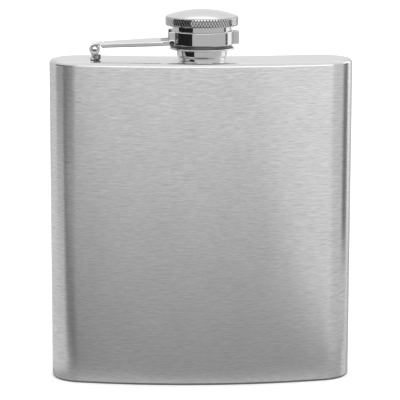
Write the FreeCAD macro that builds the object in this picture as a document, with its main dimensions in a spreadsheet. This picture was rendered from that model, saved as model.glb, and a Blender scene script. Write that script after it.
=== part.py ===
# Hip flask with a captive screw cap.
#
# Millimetres, +Z up.  The origin is the centre of the footprint, on the
# surface the flask stands on.  The convex face looks towards -Y and the
# concave face, which lies against the body, towards +Y.  The lanyard arm
# runs from its lug at -X to the cap's collar.

import FreeCAD, Part
import math
import os
import Sketcher

V = FreeCAD.Vector
doc = FreeCAD.newDocument("HipFlask")

# ---------------------------------------------------------------------------
# Driving dimensions
# ---------------------------------------------------------------------------
TABLE = [
    # vessel
    ("body_width", 95.0), ("body_height", 102.0), ("body_depth", 21.1),
    ("bow_radius", 165.0), ("wall", 0.5), ("bow_centre", 163.2948),
    ("axis_depth", -1.7052),
    ("rim_height", 1.5), ("plate_gauge", 0.6), ("rim_width", 1.5),
    ("rim_round", 0.75), ("base_recess", 0.4),
    ("top_round", 1.25), ("top_edge_wall", 0.8),
    # spout
    ("bore_r", 6.5), ("spigot_r", 7.1), ("collar_r", 7.8),
    ("collar_foot_r", 7.45), ("collar_foot_top", 1.0),
    ("collar_top", 3.4), ("root_r", 7.35), ("crest_r", 7.8),
    ("spout_top", 8.3), ("lip_r", 7.15),
    ("thread_start", 3.7), ("thread_pitch", 1.5), ("thread_flat", 0.35),
    ("thread_flank", 0.25),
    # hinge lug and its pin
    ("arm_pin_dist", 33.3), ("arm_pin_height", 3.8), ("foot_len", 6.4),
    ("foot_wide", 2.85), ("foot_shift", 2.0), ("foot_top", 0.45), ("lug_thick", 2.2),
    ("lug_eye_r", 1.6), ("lug_stem", 1.8), ("pin_r", 0.65),
    ("pin_half", 3.65), ("pin_head_r", 0.9), ("pin_head", 0.4),
    # lanyard arm, in its own frame at the hinge pin
    ("arm_rise", 2.55), ("arm_top", 1.65), ("arm_gauge", 0.7),
    ("arm_flange", 1.4), ("arm_flange_wall", 0.6), ("arm_half", 3.7),
    ("arm_curl_half", 3.55), ("curl_hole_r", 0.72), ("curl_slot_half", 1.2),
    ("curl_slot_end", 2.9),
    ("flange_start", 1.8), ("flare_start", 4.5), ("flare_end", 20.0), ("fork_start", 20.6),
    ("fork_inner", 5.2), ("fork_outer", 5.85), ("rivet_reach", 23.915),
    ("rivet_lift", 0.92), ("fork_eye_r", 0.95), ("rivet_hole_r", 0.55),
    # collar band
    ("band_in_r", 9.3), ("band_out_r", 9.85), ("band_low", 4.95),
    ("band_tall", 4.3), ("ear_in", 4.6), ("ear_out", 5.15),
    ("ear_root", 8.35), ("ear_tip", 10.3), ("fin_tip", 11.65),
    ("fin_half", 0.6), ("fin_root", 9.5), ("rivet_r", 0.5),
    ("rivet_x", 9.450), ("rivet_z", 5.783), ("rivet_head_r", 0.8),
    # cap
    ("sleeve_r", 9.22), ("sleeve_in_r", 8.9), ("flange_r", 10.1),
    ("flange_low", 3.5), ("flange_high", 4.05), ("flange_round", 0.2),
    ("flange_curve", 0.25),
    ("knob_low", 10.9), ("knob_high", 13.75), ("knob_r", 11.33),
    ("knob_round", 0.25), ("knob_top", 15.74), ("liner_root_r", 8.5),
    ("liner_crest_r", 8.25), ("liner_low", 3.75), ("liner_high", 8.2),
    ("seal_thick", 1.0), ("seal_r", 8.85),
]

sheet = doc.addObject("Spreadsheet::Sheet", "Params")
sheet.Label = "Params"
for row, (word, number) in enumerate(TABLE, start=1):
    sheet.set("A%d" % row, word)
    sheet.set("B%d" % row, repr(number))
    sheet.setAlias("B%d" % row, word)
doc.recompute()


class Size:
    """A length as a number and as the expression that drives it."""

    def __init__(self, number, text):
        self.number = float(number)
        self.text = text

    def _mix(self, other, sign, swap=False):
        if not isinstance(other, Size):
            other = Size(other, repr(float(other)))
        a, b = (other, self) if swap else (self, other)
        value = {
            "+": a.number + b.number, "-": a.number - b.number,
            "*": a.number * b.number,
            "/": a.number / b.number if b.number else 0.0,
        }[sign]
        return Size(value, "(%s %s %s)" % (a.text, sign, b.text))

    def __add__(self, other):
        return self._mix(other, "+")

    def __radd__(self, other):
        return self._mix(other, "+", True)

    def __sub__(self, other):
        return self._mix(other, "-")

    def __rsub__(self, other):
        return self._mix(other, "-", True)

    def __mul__(self, other):
        return self._mix(other, "*")

    def __rmul__(self, other):
        return self._mix(other, "*", True)

    def __truediv__(self, other):
        return self._mix(other, "/")

    def __neg__(self):
        return Size(-self.number, "(0 - %s)" % self.text)


class Book:
    pass


P = Book()
for word, number in TABLE:
    setattr(P, word, Size(number, "Params.%s" % word))
ZERO = Size(0.0, "0")

# ---------------------------------------------------------------------------
# Helpers
# ---------------------------------------------------------------------------
BODIES = []


def new_body(label, x=ZERO, y=ZERO, z=ZERO):
    body = doc.addObject("PartDesign::Body", label)
    body.Label = label
    for axis, size in (("x", x), ("y", y), ("z", z)):
        if size.text != "0":
            body.setExpression("Placement.Base.%s" % axis, size.text)
    BODIES.append(body)
    return body


def new_sketch(body, name, plane, lift=None):
    sketch = body.newObject("Sketcher::SketchObject", name)
    support = [f for f in body.Origin.OriginFeatures if f.Role == plane][0]
    sketch.AttachmentSupport = [(support, "")]
    sketch.MapMode = "FlatFace"
    if lift is not None:
        sketch.AttachmentOffset = FreeCAD.Placement(V(0, 0, lift.number), FreeCAD.Rotation())
        sketch.setExpression("AttachmentOffset.Base.z", lift.text)
    return sketch


def bind(sketch, index, name, size):
    sketch.renameConstraint(index, name)
    if size.text != "0":
        sketch.setExpression("Constraints.%s" % name, size.text)


def pin_point(sketch, geo, pos, x, y, tag):
    """Fix one point of a sketch at (x, y), both driven by the sheet."""
    if abs(x.number) < 1e-9:
        sketch.addConstraint(Sketcher.Constraint("PointOnObject", geo, pos, -2))
    else:
        bind(sketch, sketch.addConstraint(
            Sketcher.Constraint("DistanceX", -1, 1, geo, pos, x.number)), "X%s" % tag, x)
    if abs(y.number) < 1e-9:
        sketch.addConstraint(Sketcher.Constraint("PointOnObject", geo, pos, -1))
    else:
        bind(sketch, sketch.addConstraint(
            Sketcher.Constraint("DistanceY", -1, 1, geo, pos, y.number)), "Y%s" % tag, y)


def add_outline(sketch, points, tag):
    """A closed outline.  A point is (x, y) or (x, y, radius): with a radius, the
    edge that leaves it is an arc of that radius, bulging away from the inside."""
    first = sketch.GeometryCount
    count = len(points)
    for i, point in enumerate(points):
        a, b = point, points[(i + 1) % count]
        pa, pb = V(a[0].number, a[1].number, 0), V(b[0].number, b[1].number, 0)
        if len(a) == 3:
            radius = a[2].number
            mid = (pa + pb) * 0.5
            chord = pb - pa
            left = V(-chord.y, chord.x, 0).normalize()
            reach = math.sqrt(max(radius * radius - (chord.Length / 2) ** 2, 0.0))
            centre = mid + left * reach
            start = math.atan2(pa.y - centre.y, pa.x - centre.x)
            end = math.atan2(pb.y - centre.y, pb.x - centre.x)
            if end < start:
                end += 2 * math.pi
            circle = Part.Circle(centre, V(0, 0, 1), radius)
            sketch.addGeometry(Part.ArcOfCircle(circle, start, end), False)
        else:
            sketch.addGeometry(Part.LineSegment(pa, pb), False)
    for i in range(count):
        j = (i + 1) % count
        sketch.addConstraint(Sketcher.Constraint("Coincident", first + i, 2, first + j, 1))
    for i, point in enumerate(points):
        pin_point(sketch, first + i, 1, point[0], point[1], "%s%d" % (tag, i))
        if len(point) == 3:
            bind(sketch, sketch.addConstraint(
                Sketcher.Constraint("Radius", first + i, point[2].number)),
                "Arc%s%d" % (tag, i), point[2])


def add_circle(sketch, x, y, radius, tag):
    geo = sketch.addGeometry(Part.Circle(V(x.number, y.number, 0), V(0, 0, 1), radius.number), False)
    pin_point(sketch, geo, 3, x, y, tag)
    bind(sketch, sketch.addConstraint(Sketcher.Constraint("Radius", geo, radius.number)),
         "Rad%s" % tag, radius)


def add_kidney(sketch, inset, tag):
    """The vessel's section: a band of constant depth bent on the bow radius,
    closed by two half circles.  inset shrinks it all round."""
    end_x = P.body_width / 2 - P.body_depth / 2
    end_r = P.body_depth / 2 - inset
    front_r = P.bow_radius + P.body_depth / 2 - inset
    back_r = P.bow_radius - P.body_depth / 2 + inset
    phi = math.asin(end_x.number / P.bow_radius.number)
    centre = V(0, P.bow_centre.number, 0)
    end_y = P.bow_centre.number - P.bow_radius.number * math.cos(phi)
    half = math.pi / 2
    first = sketch.GeometryCount

    def arc(c, r, a0, a1):
        sketch.addGeometry(Part.ArcOfCircle(Part.Circle(c, V(0, 0, 1), r), a0, a1), False)

    arc(centre, front_r.number, -half - phi, -half + phi)
    arc(V(end_x.number, end_y, 0), end_r.number, -half + phi, half + phi)
    arc(centre, back_r.number, -half - phi, -half + phi)
    arc(V(-end_x.number, end_y, 0), end_r.number, half - phi, 3 * half - phi)
    front, right, back, left = first, first + 1, first + 2, first + 3
    add = sketch.addConstraint
    C = Sketcher.Constraint
    add(C("PointOnObject", front, 3, -2))
    add(C("Coincident", back, 3, front, 3))
    add(C("Tangent", front, 2, right, 1))
    add(C("Tangent", right, 2, back, 2))
    add(C("Tangent", back, 1, left, 1))
    add(C("Tangent", left, 2, front, 1))
    bind(sketch, add(C("DistanceY", -1, 1, front, 3, P.bow_centre.number)), "Bow%s" % tag, P.bow_centre)
    bind(sketch, add(C("Radius", front, front_r.number)), "Front%s" % tag, front_r)
    bind(sketch, add(C("Radius", right, end_r.number)), "End%s" % tag, end_r)
    bind(sketch, add(C("DistanceX", -1, 1, right, 3, end_x.number)), "Right%s" % tag, end_x)
    bind(sketch, add(C("DistanceX", -1, 1, left, 3, -end_x.number)), "Left%s" % tag, -end_x)


def volume_of(body):
    doc.recompute()
    return body.Shape.Volume


def pad(body, sketch, name, length, both=False, reverse=False):
    before = volume_of(body) if body.Tip is not None else 0.0
    feature = body.newObject("PartDesign::Pad", name)
    feature.Profile = sketch
    feature.Length = length.number
    feature.setExpression("Length", length.text)
    feature.Midplane = both
    feature.Reversed = reverse
    if volume_of(body) <= before:
        raise RuntimeError("pad %s adds nothing" % name)
    return feature


def pocket(body, sketch, name, length, both=False, reverse=False):
    before = volume_of(body)
    feature = body.newObject("PartDesign::Pocket", name)
    feature.Profile = sketch
    feature.Length = length.number
    feature.setExpression("Length", length.text)
    feature.Midplane = both
    feature.Reversed = reverse
    if volume_of(body) >= before:
        raise RuntimeError("pocket %s cuts nothing" % name)
    return feature


def turned(label, points, z):
    """A piece turned about the cap's axis.  Points are (radius, height)."""
    body = new_body(label, ZERO, P.axis_depth, z)
    sketch = new_sketch(body, label + "_profile", "XZ_Plane")
    add_outline(sketch, points, "p")
    doc.recompute()
    turn = body.newObject("PartDesign::Revolution", label + "_turn")
    turn.Profile = sketch
    turn.ReferenceAxis = (sketch, ["V_Axis"])
    turn.Angle = 360.0
    doc.recompute()
    return body


def fillet_where(body, name, radius, wanted):
    """Fillet the edges of the body's tip for which wanted(edge) is true."""
    tip = body.Tip
    names = ["Edge%d" % (i + 1) for i, e in enumerate(tip.Shape.Edges) if wanted(e)]
    if not names:
        raise RuntimeError("fillet %s finds no edge" % name)
    feature = body.newObject("PartDesign::Fillet", name)
    feature.Base = (tip, names)
    feature.Radius = radius.number
    feature.setExpression("Radius", radius.text)
    doc.recompute()
    return feature


def at_height(edge, height, gap=1e-4):
    box = edge.BoundBox
    return abs(box.ZMin - height) < gap and abs(box.ZMax - height) < gap


# ---------------------------------------------------------------------------
# Vessel
# ---------------------------------------------------------------------------
# Wrapper: one sheet closed round the kidney section, open at both ends.
wrapper = new_body("body_wrapper", z=P.rim_height)
sk = new_sketch(wrapper, "wrapper_section", "XY_Plane")
add_kidney(sk, ZERO, "o")
add_kidney(sk, P.wall, "i")
pad(wrapper, sk, "wrapper_wall", P.body_height - 2 * P.rim_height)

# Top plate: a flat pressed pan whose large rounded edge is welded to the wrapper.
top = new_body("top_plate", z=P.body_height - P.rim_height)
sk = new_sketch(top, "top_section", "XY_Plane")
add_kidney(sk, ZERO, "o")
pad(top, sk, "top_slab", P.rim_height)
fillet_where(top, "top_rim_round", P.top_round, lambda e: at_height(e, P.rim_height.number))
sk = new_sketch(top, "top_pan_section", "XY_Plane")
add_kidney(sk, P.top_edge_wall, "u")
pocket(top, sk, "top_pan", P.rim_height - P.plate_gauge, reverse=True)
sk = new_sketch(top, "top_hole_section", "XY_Plane")
add_circle(sk, ZERO, P.axis_depth, P.spigot_r, "h")
pocket(top, sk, "top_hole", P.rim_height, reverse=True)

# Bottom plate: a recessed pressing, with its rim as the foot.
base = new_body("bottom_plate")
sk = new_sketch(base, "base_section", "XY_Plane")
add_kidney(sk, ZERO, "o")
pad(base, sk, "base_slab", P.rim_height)
fillet_where(base, "base_rim_round", P.rim_round, lambda e: at_height(e, 0.0))
sk = new_sketch(base, "base_recess_section", "XY_Plane")
add_kidney(sk, P.rim_width, "r")
pocket(base, sk, "base_recess", P.base_recess, reverse=True)
sk = new_sketch(base, "base_pan_section", "XY_Plane", P.rim_height)
add_kidney(sk, P.wall, "u")
pocket(base, sk, "base_pan", P.rim_height - P.base_recess - P.plate_gauge)

# Spout: turned, with its spigot through the top plate and its collar on it.
# The thread is drawn as separate rings of the same crest and root.
inner_low = -P.plate_gauge
points = [(P.bore_r, inner_low), (P.spigot_r, inner_low), (P.spigot_r, ZERO),
          (P.collar_foot_r, ZERO), (P.collar_foot_r, P.collar_foot_top),
          (P.collar_r, P.collar_foot_top + 0.25), (P.collar_r, P.collar_top - 0.3),
          (P.collar_r - 0.3, P.collar_top), (P.root_r, P.collar_top)]
for ring in range(3):
    low = P.thread_start + ring * P.thread_pitch
    points += [(P.root_r, low), (P.crest_r, low + P.thread_flank),
               (P.crest_r, low + P.thread_flank + P.thread_flat),
               (P.root_r, low + 2 * P.thread_flank + P.thread_flat)]
points += [(P.root_r, P.spout_top - 0.2), (P.lip_r, P.spout_top), (P.bore_r, P.spout_top)]
spout = turned("neck_spout", points, P.body_height)

# ---------------------------------------------------------------------------
# Hinge lug and pin
# ---------------------------------------------------------------------------
lug = new_body("hinge_lug", -P.arm_pin_dist, P.axis_depth, P.body_height)
sk = new_sketch(lug, "foot_section", "XY_Plane")
half_w, end_r = P.foot_wide / 2, P.foot_wide * 0.6
straight = P.foot_len / 2 - P.foot_wide * 0.26834
foot_front, foot_back = P.foot_shift - straight, P.foot_shift + straight
add_outline(sk, [(half_w, foot_front), (half_w, foot_back, end_r), (-half_w, foot_back),
                 (-half_w, foot_front, end_r)], "f")
pad(lug, sk, "foot", P.foot_top)
sk = new_sketch(lug, "stem_section", "XZ_Plane")
add_outline(sk, [(-P.lug_stem / 2, ZERO), (P.lug_stem / 2, ZERO),
                 (P.lug_stem / 2, P.arm_pin_height), (-P.lug_stem / 2, P.arm_pin_height)], "s")
pad(lug, sk, "stem", P.lug_thick, both=True)
sk = new_sketch(lug, "eye_section", "XZ_Plane")
add_circle(sk, ZERO, P.arm_pin_height, P.lug_eye_r, "e")
pad(lug, sk, "eye", P.lug_thick, both=True)
sk = new_sketch(lug, "eye_hole_section", "XZ_Plane")
add_circle(sk, ZERO, P.arm_pin_height, P.pin_r, "e")
pocket(lug, sk, "eye_hole", P.lug_thick * 2, both=True)

# The pin is headed at both ends, outside the arm's two curls.
pin = new_body("hinge_pin", -P.arm_pin_dist, P.axis_depth, P.body_height + P.arm_pin_height)
sk = new_sketch(pin, "pin_profile", "YZ_Plane")
tip_out = P.pin_half + P.pin_head
add_outline(sk, [(-tip_out, ZERO), (tip_out, ZERO), (tip_out, P.pin_head_r - 0.25),
                 (tip_out - 0.25, P.pin_head_r), (P.pin_half, P.pin_head_r), (P.pin_half, P.pin_r),
                 (-P.pin_half, P.pin_r), (-P.pin_half, P.pin_head_r),
                 (-tip_out + 0.25, P.pin_head_r), (-tip_out, P.pin_head_r - 0.25)], "p")
doc.recompute()
turn = pin.newObject("PartDesign::Revolution", "pin_turn")
turn.Profile = sk
turn.ReferenceAxis = (sk, ["H_Axis"])
turn.Angle = 360.0
doc.recompute()

# ---------------------------------------------------------------------------
# Lanyard arm: a pressed channel, curled round the pin and forked at the cap
# ---------------------------------------------------------------------------
arm = new_body("lanyard_arm", -P.arm_pin_dist, P.axis_depth, P.body_height + P.arm_pin_height)
arm.Placement = FreeCAD.Placement(arm.Placement.Base, FreeCAD.Rotation(V(0, -1, 0), P.arm_rise.number))
arm.setExpression("Placement.Rotation.Angle", P.arm_rise.text)
fork_end = P.rivet_reach + 0.4

sk = new_sketch(arm, "web_section", "XY_Plane", P.arm_top - P.arm_gauge)
add_outline(sk, [(ZERO, -P.arm_curl_half), (P.flange_start, -P.arm_half), (P.flare_start, -P.arm_half),
                 (P.flare_end, -P.fork_outer), (fork_end, -P.fork_outer),
                 (fork_end, P.fork_outer), (P.flare_end, P.fork_outer),
                 (P.flare_start, P.arm_half), (P.flange_start, P.arm_half), (ZERO, P.arm_curl_half)], "w")
pad(arm, sk, "web", P.arm_gauge)
sk = new_sketch(arm, "flange_section", "XY_Plane", P.arm_top - P.arm_flange)
in_half = P.arm_half - P.arm_flange_wall
for sign, tag in ((-1, "a"), (1, "b")):
    loop = [(P.flange_start, P.arm_half), (P.flare_start, P.arm_half), (P.flare_end, P.fork_outer),
            (fork_end, P.fork_outer), (fork_end, P.fork_inner), (P.flare_end, P.fork_inner),
            (P.flare_start, in_half), (P.flange_start, in_half)]
    if sign < 0:
        loop = [(x, -y) for x, y in reversed(loop)]
    add_outline(sk, loop, tag)
pad(arm, sk, "flanges", P.arm_flange - P.arm_gauge + 0.1)
sk = new_sketch(arm, "curl_section", "XZ_Plane")
add_circle(sk, ZERO, ZERO, P.arm_top, "c")
pad(arm, sk, "curl", P.arm_curl_half * 2, both=True)
sk = new_sketch(arm, "fork_eye_section", "XZ_Plane")
add_circle(sk, P.rivet_reach, P.rivet_lift, P.fork_eye_r, "c")
pad(arm, sk, "fork_eyes", P.fork_outer * 2, both=True)
sk = new_sketch(arm, "curl_hole_section", "XZ_Plane")
add_circle(sk, ZERO, ZERO, P.curl_hole_r, "c")
pocket(arm, sk, "curl_hole", P.arm_half * 4, both=True)
sk = new_sketch(arm, "rivet_hole_section", "XZ_Plane")
add_circle(sk, P.rivet_reach, P.rivet_lift, P.rivet_hole_r, "c")
pocket(arm, sk, "rivet_hole", P.fork_outer * 4, both=True)
sk = new_sketch(arm, "curl_slot_section", "XY_Plane", P.arm_top * -2)
add_outline(sk, [(-P.arm_half, -P.curl_slot_half), (P.curl_slot_end, -P.curl_slot_half),
                 (P.curl_slot_end, P.curl_slot_half), (-P.arm_half, P.curl_slot_half)], "s")
pocket(arm, sk, "curl_slot", P.arm_top * 4, reverse=True)
sk = new_sketch(arm, "fork_slot_section", "XY_Plane", P.arm_top * -2)
add_outline(sk, [(P.fork_start, -P.fork_inner), (P.fork_start * 2, -P.fork_inner),
                 (P.fork_start * 2, P.fork_inner), (P.fork_start, P.fork_inner)], "s")
pocket(arm, sk, "fork_slot", P.arm_top * 4, reverse=True)

# ---------------------------------------------------------------------------
# Collar band: one strip, folded at +X and ending in two ears at -X
# ---------------------------------------------------------------------------
band = new_body("collar_band", ZERO, P.axis_depth, P.body_height)
sk = new_sketch(band, "ring_section", "XY_Plane", P.band_low)
add_circle(sk, ZERO, ZERO, P.band_out_r, "o")
add_circle(sk, ZERO, ZERO, P.band_in_r, "i")
pad(band, sk, "ring", P.band_tall)
sk = new_sketch(band, "gap_section", "XY_Plane", P.band_low - 1)
add_outline(sk, [(-P.ear_tip - 1, -P.ear_in), (-P.ear_root + 1, -P.ear_in),
                 (-P.ear_root + 1, P.ear_in), (-P.ear_tip - 1, P.ear_in)], "g")
pocket(band, sk, "gap", P.band_tall + 2, reverse=True)
sk = new_sketch(band, "ear_section", "XY_Plane", P.band_low)
for sign, tag in ((-1, "a"), (1, "b")):
    loop = [(-P.ear_tip, P.ear_in), (-P.ear_root, P.ear_in), (-P.ear_root, P.ear_out), (-P.ear_tip, P.ear_out)]
    if sign < 0:
        loop = [(x, -y) for x, y in reversed(loop)]
    add_outline(sk, loop, tag)
pad(band, sk, "ears", P.band_tall)
sk = new_sketch(band, "fin_section", "XY_Plane", P.band_low)
add_outline(sk, [(P.fin_root, -P.fin_half), (P.fin_tip, -P.fin_half), (P.fin_tip, P.fin_half),
                 (P.fin_root, P.fin_half)], "f")
pad(band, sk, "fin", P.band_tall)
sk = new_sketch(band, "ear_hole_section", "XZ_Plane")
add_circle(sk, -P.rivet_x, P.rivet_z, P.rivet_r, "h")
pocket(band, sk, "ear_holes", P.ear_out * 4, both=True)

# Rivets: fast in the ears, free to turn in the arm's fork.
for label, side in (("collar_rivet_front", -1), ("collar_rivet_back", 1)):
    rivet = new_body(label, -P.rivet_x, P.axis_depth, P.body_height + P.rivet_z)
    sk = new_sketch(rivet, label + "_profile", "YZ_Plane")
    inner = P.ear_in - 0.15
    outer = P.fork_outer + 0.05
    loop = [(inner, ZERO), (outer + 0.3, ZERO), (outer + 0.3, P.rivet_head_r - 0.2),
            (outer + 0.1, P.rivet_head_r), (outer, P.rivet_head_r), (outer, P.rivet_r),
            (P.ear_in, P.rivet_r), (P.ear_in, P.rivet_head_r - 0.1), (inner, P.rivet_head_r - 0.1)]
    if side < 0:
        loop = [(-x, y) for x, y in reversed(loop)]
    add_outline(sk, loop, "p")
    doc.recompute()
    turn = rivet.newObject("PartDesign::Revolution", label + "_turn")
    turn.Profile = sk
    turn.ReferenceAxis = (sk, ["H_Axis"])
    turn.Angle = 360.0
    doc.recompute()

# ---------------------------------------------------------------------------
# Cap
# ---------------------------------------------------------------------------
rr = P.flange_round
turned("cap_sleeve", [
    (P.sleeve_in_r, P.flange_low), (P.flange_r - rr, P.flange_low), (P.flange_r, P.flange_low + rr),
    (P.flange_r, P.flange_high - P.flange_curve, P.flange_curve),
    (P.flange_r - P.flange_curve, P.flange_high), (P.sleeve_r, P.flange_high),
    (P.sleeve_r, P.knob_low), (P.sleeve_in_r, P.knob_low)], P.body_height)

points = [(P.sleeve_in_r, P.liner_low), (P.sleeve_in_r, P.liner_high), (P.liner_root_r, P.liner_high)]
for ring in range(2, -1, -1):
    low = P.thread_start + ring * P.thread_pitch + 0.3
    points += [(P.liner_root_r, low + 2 * P.thread_flank + P.thread_flat),
               (P.liner_crest_r, low + P.thread_flank + P.thread_flat),
               (P.liner_crest_r, low + P.thread_flank), (P.liner_root_r, low)]
points += [(P.liner_root_r, P.liner_low)]
turned("cap_liner", list(reversed(points)), P.body_height)

seal_top = P.spout_top + P.seal_thick
turned("cap_seal", [(ZERO, P.spout_top), (P.seal_r, P.spout_top), (P.seal_r, seal_top),
                    (ZERO, seal_top)], P.body_height)

dome_rise = P.knob_top - P.knob_high
dome_edge = P.knob_r - P.knob_round
dome_r = (dome_edge * dome_edge + dome_rise * dome_rise) / (2 * dome_rise)
kr = P.knob_round
turned("cap_knob", [
    (ZERO, seal_top), (P.sleeve_in_r, seal_top), (P.sleeve_in_r, P.knob_low),
    (P.knob_r - kr, P.knob_low), (P.knob_r, P.knob_low + kr), (P.knob_r, P.knob_high - kr),
    (dome_edge, P.knob_high, dome_r), (ZERO, P.knob_top)], P.body_height)

# ---------------------------------------------------------------------------
# Verify and write
# ---------------------------------------------------------------------------
doc.recompute()
for item in doc.Objects:
    bad = [s for s in item.State if s in ("Invalid", "Error")]
    if bad:
        raise RuntimeError("%s is %s" % (item.Label, bad))
for body in BODIES:
    shape = body.Shape
    if shape.isNull() or not shape.isValid() or len(shape.Solids) != 1:
        raise RuntimeError("%s has no single valid solid" % body.Label)

os.makedirs("parts", exist_ok=True)
for body in BODIES:
    box = body.Shape.BoundBox
    body.Shape.exportStep("parts/%s.step" % body.Label)
    print("%-20s %9.2f mm3  x %7.2f %7.2f  y %7.2f %7.2f  z %7.2f %7.2f" % (
        body.Label, body.Shape.Volume, box.XMin, box.XMax, box.YMin, box.YMax, box.ZMin, box.ZMax))
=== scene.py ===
import math

import bmesh
import bpy
import numpy as np
from mathutils import Matrix, Vector


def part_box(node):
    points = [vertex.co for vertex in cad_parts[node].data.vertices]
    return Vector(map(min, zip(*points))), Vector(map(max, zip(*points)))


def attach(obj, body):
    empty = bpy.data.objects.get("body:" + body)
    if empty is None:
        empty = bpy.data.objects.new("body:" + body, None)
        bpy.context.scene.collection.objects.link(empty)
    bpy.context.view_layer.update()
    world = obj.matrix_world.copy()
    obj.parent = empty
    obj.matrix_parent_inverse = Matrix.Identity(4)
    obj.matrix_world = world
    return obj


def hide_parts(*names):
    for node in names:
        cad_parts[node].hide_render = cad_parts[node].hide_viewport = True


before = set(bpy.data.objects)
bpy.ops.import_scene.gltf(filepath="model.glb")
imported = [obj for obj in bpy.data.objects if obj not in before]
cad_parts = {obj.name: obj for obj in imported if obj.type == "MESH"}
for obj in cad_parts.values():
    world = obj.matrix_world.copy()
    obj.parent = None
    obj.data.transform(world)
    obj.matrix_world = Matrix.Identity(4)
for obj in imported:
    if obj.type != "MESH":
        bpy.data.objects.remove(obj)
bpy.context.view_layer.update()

scene = bpy.context.scene
MM = 0.001
TAU = 2 * math.pi

# ---------------------------------------------------------------------------
# Where things are, read from the frame (millimetres)
# ---------------------------------------------------------------------------


def box_mm(node):
    lo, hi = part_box(node)
    return lo / MM, hi / MM


wrap_lo, wrap_hi = box_mm("body_wrapper")
top_lo, top_hi = box_mm("top_plate")
base_lo, base_hi = box_mm("bottom_plate")
knob_lo, knob_hi = box_mm("cap_knob")
pin_lo, pin_hi = box_mm("hinge_pin")
band_lo, band_hi = box_mm("collar_band")
rivet_lo, rivet_hi = box_mm("collar_rivet_front")
H = top_hi.z                                # level of the top plate
AY = (knob_lo.y + knob_hi.y) / 2            # cap axis, on x = 0
PIN = ((pin_lo.x + pin_hi.x) / 2, (pin_lo.z + pin_hi.z) / 2)
RIVET = ((rivet_lo.x + rivet_hi.x) / 2, (rivet_lo.z + rivet_hi.z) / 2)
SEAM_TOP, SEAM_BASE = wrap_hi.z, wrap_lo.z  # where the wrapper meets its plates

BOW, DEPTH, END_X = 165.0, 21.1, 95.0 / 2 - 21.1 / 2
BOW_C = 163.2948
WALL = 0.5
PHI = math.asin(END_X / BOW)
END_Y = BOW_C - BOW * math.cos(PHI)

# ---------------------------------------------------------------------------
# Mesh helpers
# ---------------------------------------------------------------------------


def make(name, verts, faces, mats, body, stands_for=(), index=None, uv=None,
         angle=32.0, origin=(0.0, 0.0, 0.0), weighted=True):
    """A mesh object from millimetre points, riding on a CAD body."""
    mesh = bpy.data.meshes.new(name)
    ox, oy, oz = origin
    mesh.from_pydata([((x + ox) * MM, (y + oy) * MM, (z + oz) * MM) for x, y, z in verts], [], faces)
    for m in mats:
        mesh.materials.append(m)
    if index is not None:
        mesh.polygons.foreach_set("material_index", index)
    if uv is not None:
        layer = mesh.uv_layers.new(name="UVMap")
        for poly in mesh.polygons:
            us = [uv[mesh.loops[li].vertex_index] for li in poly.loop_indices]
            wide = max(u[0] for u in us) - min(u[0] for u in us)
            for li, (u, v, period) in zip(poly.loop_indices, us):
                if period and wide > period / 2 and u < period / 2:
                    u += period
                layer.data[li].uv = (u * 0.01, v * 0.01)
    mesh.validate()
    bm = bmesh.new()
    bm.from_mesh(mesh)
    bmesh.ops.remove_doubles(bm, verts=bm.verts, dist=1e-7)
    bmesh.ops.recalc_face_normals(bm, faces=bm.faces)
    bm.to_mesh(mesh)
    bm.free()
    mesh.polygons.foreach_set("use_smooth", [True] * len(mesh.polygons))
    mesh.set_sharp_from_angle(angle=math.radians(angle))
    obj = bpy.data.objects.new(name, mesh)
    scene.collection.objects.link(obj)
    if weighted:
        wn = obj.modifiers.new("weighted", "WEIGHTED_NORMAL")
        wn.keep_sharp = True
        wn.weight = 80
    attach(obj, body)
    if stands_for:
        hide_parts(*stands_for)
    return obj


def rounded(points, steps=5):
    """A closed outline of (a, b) or (a, b, radius) points, with its corners rounded."""
    out = []
    n = len(points)
    for i, p in enumerate(points):
        if len(p) < 3 or p[2] <= 0:
            out.append((p[0], p[1]))
            continue
        a = Vector(points[i - 1][:2]) - Vector(p[:2])
        b = Vector(points[(i + 1) % n][:2]) - Vector(p[:2])
        la, lb = a.length, b.length
        a, b = a / la, b / lb
        half = math.acos(max(-1.0, min(1.0, a.dot(b)))) / 2
        if half > math.radians(88.5):
            out.append((p[0], p[1]))
            continue
        reach = min(p[2] / math.tan(half), la * 0.499, lb * 0.499)
        r = reach * math.tan(half)
        bis = (a + b).normalized()
        c = Vector(p[:2]) + bis * (r / math.sin(half))
        s = Vector(p[:2]) + a * reach - c
        e = Vector(p[:2]) + b * reach - c
        sa, ea = math.atan2(s.y, s.x), math.atan2(e.y, e.x)
        d = (ea - sa + math.pi) % TAU - math.pi
        for k in range(steps + 1):
            t = sa + d * k / steps
            out.append((c.x + r * math.cos(t), c.y + r * math.sin(t)))
    return out


def lathe(profile, segs, radius=None):
    """Points and faces of a profile of (radius, height) turned about Z.  The profile is
    closed, unless it starts and ends on the axis.  radius(theta, r, z) may change r."""
    poles = profile[0][0] < 1e-9 and profile[-1][0] < 1e-9
    rows = profile[1:-1] if poles else profile
    verts, faces, uv = [], [], []
    run = 0.0
    for j, (r, z) in enumerate(rows):
        if j:
            run += math.hypot(r - rows[j - 1][0], z - rows[j - 1][1])
        for i in range(segs):
            t = TAU * i / segs
            rr = radius(t, r, z) if radius else r
            verts.append((rr * math.cos(t), rr * math.sin(t), z))
            uv.append((t * 10.0, run, TAU * 10.0))
    n = len(rows)
    for j in range(n - 1 if poles else n):
        k = (j + 1) % n
        for i in range(segs):
            m = (i + 1) % segs
            faces.append((j * segs + i, j * segs + m, k * segs + m, k * segs + i))
    if poles:
        for row, z in ((0, profile[0][1]), (n - 1, profile[-1][1])):
            verts.append((0.0, 0.0, z))
            uv.append((0.0, 0.0, 0.0))
            c = len(verts) - 1
            for i in range(segs):
                m = (i + 1) % segs
                faces.append((row * segs + i, row * segs + m, c) if row else
                             (row * segs + m, row * segs + i, c))
    return verts, faces, uv


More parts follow.
